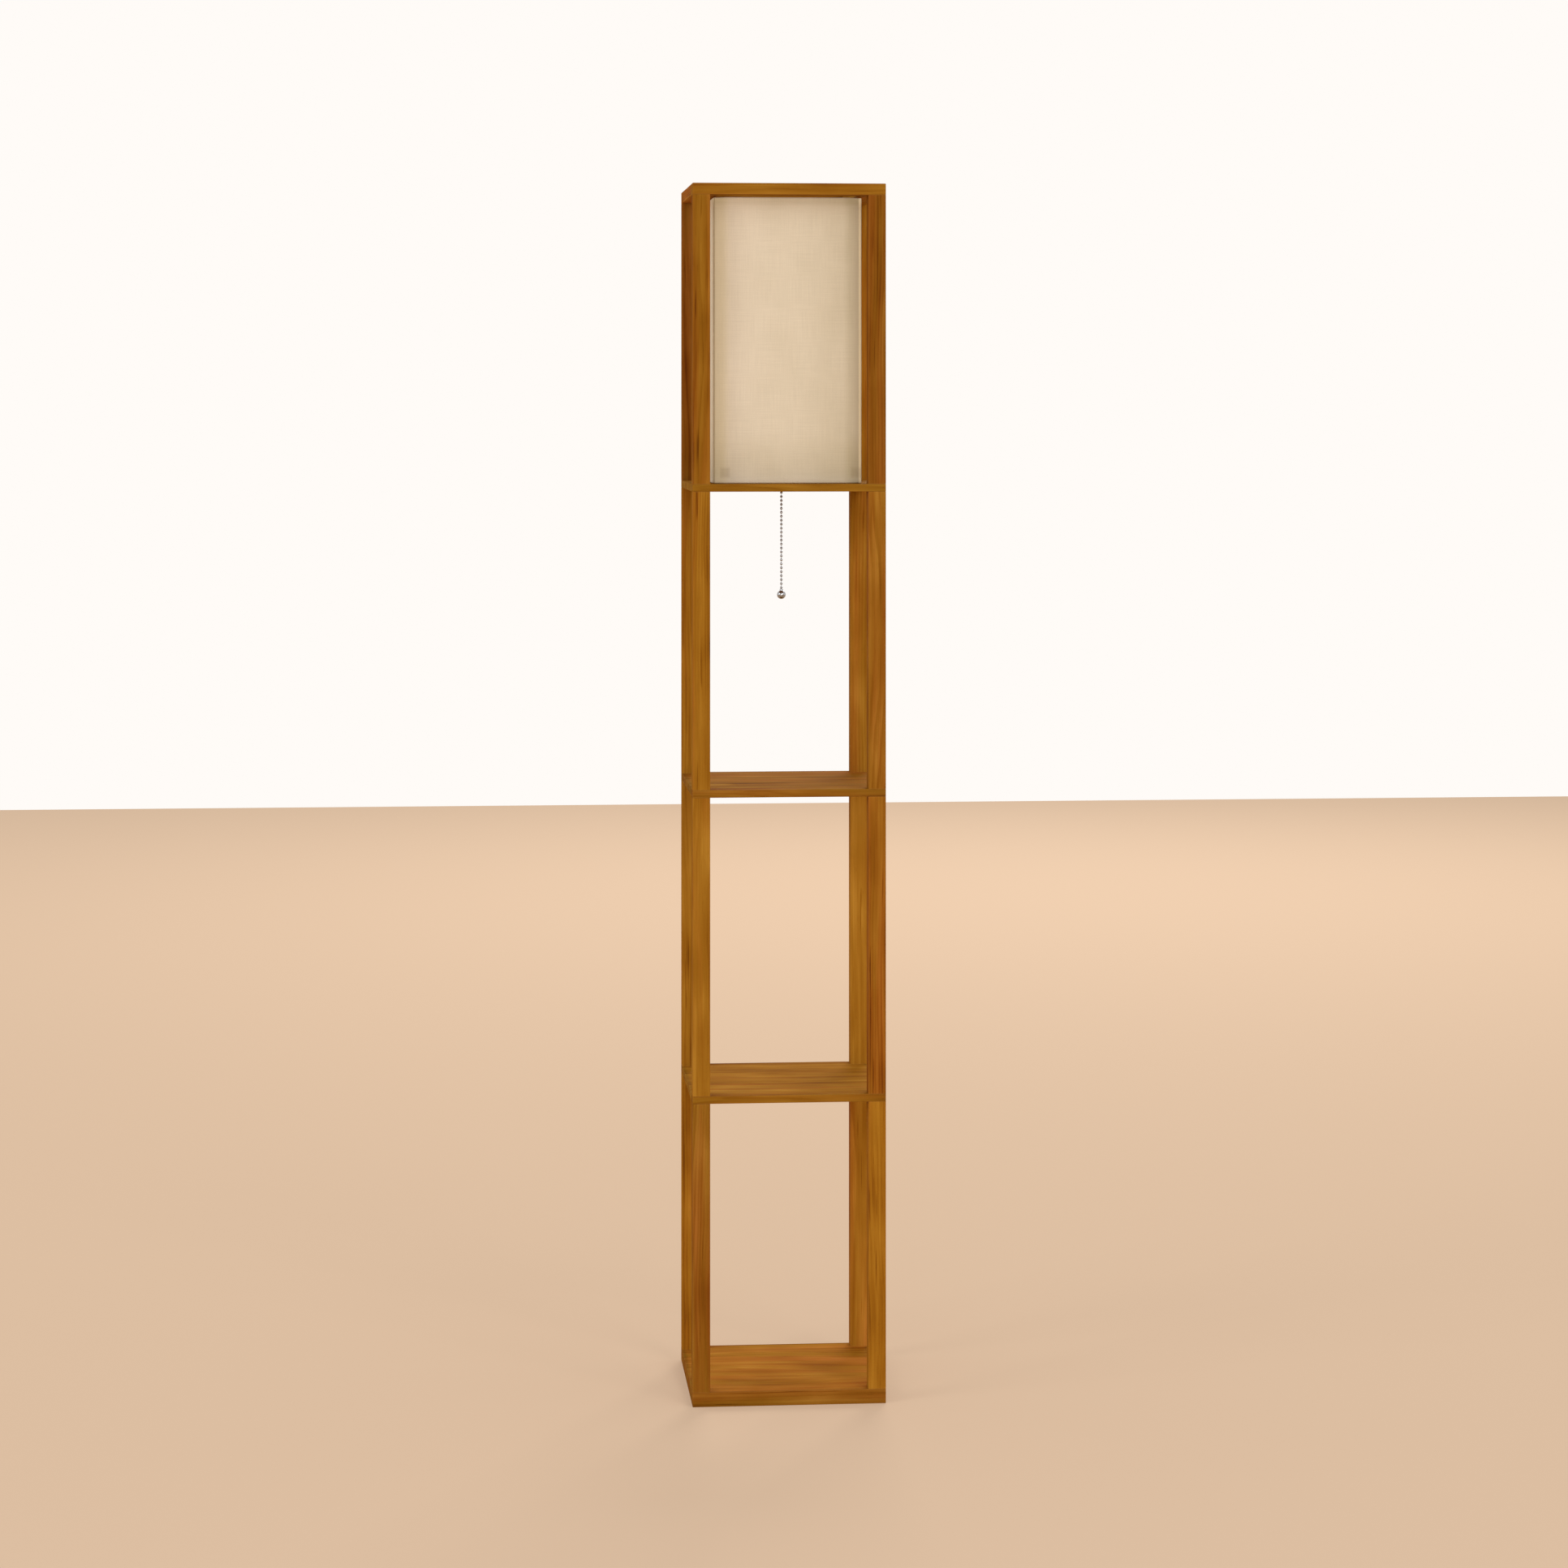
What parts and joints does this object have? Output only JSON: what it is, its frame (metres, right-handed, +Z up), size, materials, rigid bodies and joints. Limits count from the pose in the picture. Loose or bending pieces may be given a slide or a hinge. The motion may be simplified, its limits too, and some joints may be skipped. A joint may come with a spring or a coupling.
{
  "type": "shelf floor lamp",
  "caption": "Square wooden tower floor lamp with open shelves, a linen box shade in the top tier and a bead pull chain under it.",
  "frame": {"origin": "centre of the base board's underside, on the floor", "axes": "+Z up, +X to the right seen from the front, -Y to the front"},
  "size_m": [0.254, 0.254, 1.6],
  "materials": {
    "honey_wood": "satin honey-brown stain over straight grain",
    "plain_wood": "unfinished beech",
    "linen": "natural linen laminated to a stiff backing",
    "white_wire": "white coated wire",
    "zinc_steel": "zinc plated",
    "brass": "plain brass",
    "bright_nickel": "polished nickel plate",
    "porcelain": "unglazed white",
    "liner_card": "fibre liner",
    "black_plastic": "moulded black",
    "white_plastic": "moulded white",
    "opal_plastic": "opal diffuser"
  },
  "bodies": {
    "cabinet": {"base_board": "honey_wood", "base_screws": "zinc_steel", "bracket_screws": "zinc_steel", "centre_contact": "brass", "chain_bushing": "black_plastic", "cord_bushing": "black_plastic", "holder_nipple": "zinc_steel", "lamp_bracket": "zinc_steel", "nipple_nut": "zinc_steel", "post_display_back_left": "honey_wood", "post_display_back_right": "honey_wood", "post_display_front_left": "honey_wood", "post_display_front_right": "honey_wood", "post_inserts": "brass", "post_lower_back_left": "honey_wood", "post_lower_back_right": "honey_wood", "post_lower_front_left": "honey_wood", "post_lower_front_right": "honey_wood", "post_middle_back_left": "honey_wood", "post_middle_back_right": "honey_wood", "post_middle_front_left": "honey_wood", "post_middle_front_right": "honey_wood", "post_shade_back_left": "honey_wood", "post_shade_back_right": "honey_wood", "post_shade_front_left": "honey_wood", "post_shade_front_right": "honey_wood", "post_studs": "zinc_steel", "return_spring": "zinc_steel", "screw_shell": "brass", "shade_corner_blocks": "plain_wood", "shade_panel_back": "linen", "shade_panel_front": "linen", "shade_panel_left": "linen", "shade_panel_right": "linen", "shade_ring_bottom": "white_wire", "shade_ring_top": "white_wire", "shade_uprights": "white_wire", "shelf_lower": "honey_wood", "shelf_middle": "honey_wood", "shelf_upper": "honey_wood", "socket_cap": "bright_nickel", "socket_core": "porcelain", "socket_liner": "liner_card", "socket_shell": "bright_nickel", "switch_case": "black_plastic", "top_dowels": "plain_wood", "top_rail_back": "honey_wood", "top_rail_front": "honey_wood", "top_rail_left": "honey_wood", "top_rail_right": "honey_wood"},
    "pull_chain": {"pull_link": "bright_nickel", "pull_chain_upper": "bright_nickel"},
    "chain_swivel": {"swivel_bead": "bright_nickel"},
    "hanging_chain": {"pull_chain_lower": "bright_nickel", "pull_knob": "bright_nickel"},
    "cam": {"switch_cam": "black_plastic"},
    "bulb_seat": {"bulb_contact": "brass"},
    "bulb": {"bulb_cap": "bright_nickel", "bulb_body": "white_plastic", "bulb_globe": "opal_plastic"}
  },
  "joints": [
    {"name": "chain_pull", "type": "slide", "parent": "cabinet", "child": "pull_chain", "axis": [0, 0, -1], "range_m": [0, 0.012], "stiffness_N_per_m": 350, "springref_m": -0.004, "deforming": ["return_spring"]},
    {"name": "chain_swing_front_back", "type": "hinge", "parent": "pull_chain", "child": "chain_swivel", "pos_m": [0, 0, 1.1918], "axis": [1, 0, 0], "range_deg": [-25, 25]},
    {"name": "chain_swing_side_side", "type": "hinge", "parent": "chain_swivel", "child": "hanging_chain", "pos_m": [0, 0, 1.1918], "axis": [0, 1, 0], "range_deg": [-25, 25]},
    {"name": "cam_turn", "type": "hinge", "parent": "cabinet", "child": "cam", "pos_m": [0.01, 0, 1.2395], "axis": [0, -1, 0], "range_deg": [0, 91]},
    {"name": "bulb_lift", "type": "slide", "parent": "cabinet", "child": "bulb_seat", "axis": [0, 0, 1], "range_m": [0, 0.01452]},
    {"name": "bulb_turn", "type": "hinge", "parent": "bulb_seat", "child": "bulb", "pos_m": [0, 0, 1.3], "axis": [0, 0, 1], "range_deg": [0, 1442]}
  ],
  "couplings": [
    {"joint": "cam_turn", "follows": "chain_pull", "rad_per_m": 130.9},
    {"joint": "bulb_turn", "follows": "bulb_lift", "rad_per_m": 1730.9}
  ]
}
